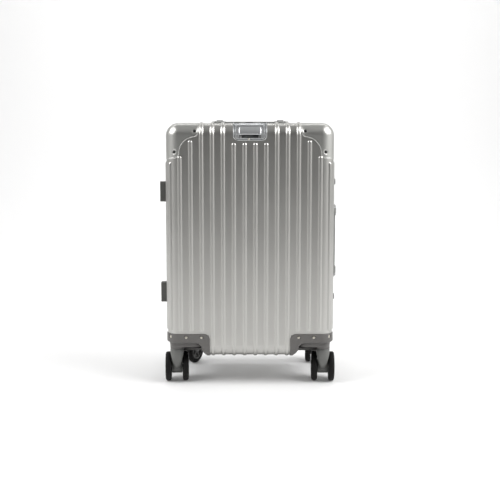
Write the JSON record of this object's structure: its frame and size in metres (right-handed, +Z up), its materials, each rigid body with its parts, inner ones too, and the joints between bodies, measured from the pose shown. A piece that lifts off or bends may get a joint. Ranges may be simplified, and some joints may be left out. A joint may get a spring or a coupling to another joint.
{
  "type": "hard shell suitcase",
  "caption": "Upright ribbed aluminium suitcase with hinged lid, latches, corner caps, carry handles, telescopic pull handle and swivelling twin-wheel casters.",
  "frame": {"origin": "on the floor under the middle of the case's width and of its depth without the casters", "axes": "+Z up, -Y towards the back with the trolley handle, +Y towards the lid, +X towards the latches and the side handle"},
  "size_m": [0.37, 0.248, 0.55],
  "materials": {
    "shell_aluminium": "fine-grained satin anodised",
    "frame_aluminium": "brushed extrusion",
    "cap_aluminium": "satin pressed",
    "housing_plastic": "fine leather-grained moulding",
    "cup_plastic": "silver-grey satin moulding",
    "fork_plastic": "satin moulding",
    "tyre": "matt polyurethane",
    "hub_plastic": "satin moulding",
    "steel": "turned",
    "rivet_steel": "set rivet",
    "handle_plastic": "satin moulding",
    "latch_metal": "satin plated",
    "tube_aluminium": "drawn and anodised",
    "grip_plastic": "silver-grey satin moulding",
    "seal_rubber": "matt",
    "lining_fabric": "woven polyester lining"
  },
  "bodies": {
    "case_back": {"back_shell": "shell_aluminium", "back_frame": "frame_aluminium", "frame_seal": "seal_rubber", "back_corner_caps": "cap_aluminium", "back_left_caster_housing": "housing_plastic", "back_right_caster_housing": "housing_plastic", "back_rivets": "rivet_steel", "back_kingpins": "steel", "handle_mounts": "latch_metal", "trolley_bezel": "cup_plastic", "trolley_outer_tubes": "tube_aluminium", "latch_bases": "latch_metal", "hinge_back_leaves": "latch_metal", "pivot_pins": "steel", "back_side_feet": "handle_plastic", "back_lining": "lining_fabric"},
    "lid": {"front_shell": "shell_aluminium", "front_frame": "frame_aluminium", "front_corner_caps": "cap_aluminium", "front_left_caster_housing": "housing_plastic", "front_right_caster_housing": "housing_plastic", "front_rivets": "rivet_steel", "front_kingpins": "steel", "latch_keepers": "latch_metal", "hinge_front_leaves": "latch_metal", "front_side_feet": "handle_plastic", "front_lining": "lining_fabric"},
    "top_handle_body": {"top_handle": "handle_plastic"},
    "side_handle_body": {"side_handle": "handle_plastic"},
    "trolley_middle_stage": {"trolley_middle_tubes": "tube_aluminium"},
    "trolley_inner_stage": {"trolley_inner_tubes": "tube_aluminium", "trolley_grip": "grip_plastic"},
    "trolley_button_body": {"trolley_button": "handle_plastic", "trolley_push_rods": "steel"},
    "upper_latch": {"upper_latch_lever": "latch_metal"},
    "lower_latch": {"lower_latch_lever": "latch_metal"},
    "back_left_caster_swivel": {"back_left_caster_fork": "fork_plastic", "back_left_caster_axle": "steel"},
    "back_left_caster_left_wheel": {"back_left_caster_left_hub": "hub_plastic", "back_left_caster_left_tyre": "tyre"},
    "back_left_caster_right_wheel": {"back_left_caster_right_hub": "hub_plastic", "back_left_caster_right_tyre": "tyre"},
    "back_right_caster_swivel": {"back_right_caster_fork": "fork_plastic", "back_right_caster_axle": "steel"},
    "back_right_caster_left_wheel": {"back_right_caster_left_hub": "hub_plastic", "back_right_caster_left_tyre": "tyre"},
    "back_right_caster_right_wheel": {"back_right_caster_right_hub": "hub_plastic", "back_right_caster_right_tyre": "tyre"},
    "front_left_caster_swivel": {"front_left_caster_fork": "fork_plastic", "front_left_caster_axle": "steel"},
    "front_left_caster_left_wheel": {"front_left_caster_left_hub": "hub_plastic", "front_left_caster_left_tyre": "tyre"},
    "front_left_caster_right_wheel": {"front_left_caster_right_hub": "hub_plastic", "front_left_caster_right_tyre": "tyre"},
    "front_right_caster_swivel": {"front_right_caster_fork": "fork_plastic", "front_right_caster_axle": "steel"},
    "front_right_caster_left_wheel": {"front_right_caster_left_hub": "hub_plastic", "front_right_caster_left_tyre": "tyre"},
    "front_right_caster_right_wheel": {"front_right_caster_right_hub": "hub_plastic", "front_right_caster_right_tyre": "tyre"}
  },
  "joints": [
    {"name": "lid_hinge", "type": "hinge", "parent": "case_back", "child": "lid", "pos_m": [-0.1765, 0.014, 0.2935], "axis": [0, 0, 1], "range_deg": [0, 150]},
    {"name": "top_handle_pivot", "type": "hinge", "parent": "case_back", "child": "top_handle_body", "pos_m": [0, -0.02, 0.5438], "axis": [-1, 0, 0], "range_deg": [0, 90]},
    {"name": "side_handle_pivot", "type": "hinge", "parent": "case_back", "child": "side_handle_body", "pos_m": [0.1778, -0.02, 0.2935], "axis": [0, 0, 1], "range_deg": [0, 90]},
    {"name": "trolley_middle_slide", "type": "slide", "parent": "case_back", "child": "trolley_middle_stage", "axis": [0, 0, 1], "range_m": [0, 0.25]},
    {"name": "trolley_inner_slide", "type": "slide", "parent": "trolley_middle_stage", "child": "trolley_inner_stage", "axis": [0, 0, 1], "range_m": [0, 0.25]},
    {"name": "trolley_button_press", "type": "slide", "parent": "trolley_inner_stage", "child": "trolley_button_body", "axis": [0, 0, -1], "range_m": [0, 0.003], "stiffness_N_per_m": 600, "springref_m": -0.002},
    {"name": "upper_latch_pivot", "type": "hinge", "parent": "case_back", "child": "upper_latch", "pos_m": [0.177, -0.006, 0.419], "axis": [0, 0, -1], "range_deg": [0, 75]},
    {"name": "lower_latch_pivot", "type": "hinge", "parent": "case_back", "child": "lower_latch", "pos_m": [0.177, -0.006, 0.168], "axis": [0, 0, -1], "range_deg": [0, 75]},
    {"name": "back_left_caster_swivel_turn", "type": "hinge", "parent": "case_back", "child": "back_left_caster_swivel", "pos_m": [-0.152, -0.082, 0.068], "axis": [0, 0, 1], "continuous": true},
    {"name": "back_left_caster_left_wheel_spin", "type": "hinge", "parent": "back_left_caster_swivel", "child": "back_left_caster_left_wheel", "pos_m": [-0.15374, -0.06208, 0.0305], "axis": [0.9962, 0.0872, 0], "continuous": true},
    {"name": "back_left_caster_right_wheel_spin", "type": "hinge", "parent": "back_left_caster_swivel", "child": "back_left_caster_right_wheel", "pos_m": [-0.15374, -0.06208, 0.0305], "axis": [0.9962, 0.0872, 0], "continuous": true},
    {"name": "back_right_caster_swivel_turn", "type": "hinge", "parent": "case_back", "child": "back_right_caster_swivel", "pos_m": [0.152, -0.082, 0.068], "axis": [0, 0, 1], "continuous": true},
    {"name": "back_right_caster_left_wheel_spin", "type": "hinge", "parent": "back_right_caster_swivel", "child": "back_right_caster_left_wheel", "pos_m": [0.1534, -0.06205, 0.0305], "axis": [0.9976, -0.0698, 0], "continuous": true},
    {"name": "back_right_caster_right_wheel_spin", "type": "hinge", "parent": "back_right_caster_swivel", "child": "back_right_caster_right_wheel", "pos_m": [0.1534, -0.06205, 0.0305], "axis": [0.9976, -0.0698, 0], "continuous": true},
    {"name": "front_left_caster_swivel_turn", "type": "hinge", "parent": "lid", "child": "front_left_caster_swivel", "pos_m": [-0.152, 0.082, 0.068], "axis": [0, 0, 1], "continuous": true},
    {"name": "front_left_caster_left_wheel_spin", "type": "hinge", "parent": "front_left_caster_swivel", "child": "front_left_caster_left_wheel", "pos_m": [-0.14323, 0.09998, 0.0305], "axis": [0.8988, -0.4384, 0], "continuous": true},
    {"name": "front_left_caster_right_wheel_spin", "type": "hinge", "parent": "front_left_caster_swivel", "child": "front_left_caster_right_wheel", "pos_m": [-0.14323, 0.09998, 0.0305], "axis": [0.8988, -0.4384, 0], "continuous": true},
    {"name": "front_right_caster_swivel_turn", "type": "hinge", "parent": "lid", "child": "front_right_caster_swivel", "pos_m": [0.152, 0.082, 0.068], "axis": [0, 0, 1], "continuous": true},
    {"name": "front_right_caster_left_wheel_spin", "type": "hinge", "parent": "front_right_caster_swivel", "child": "front_right_caster_left_wheel", "pos_m": [0.1534, 0.10195, 0.0305], "axis": [0.9976, -0.0698, 0], "continuous": true},
    {"name": "front_right_caster_right_wheel_spin", "type": "hinge", "parent": "front_right_caster_swivel", "child": "front_right_caster_right_wheel", "pos_m": [0.1534, 0.10195, 0.0305], "axis": [0.9976, -0.0698, 0], "continuous": true}
  ]
}
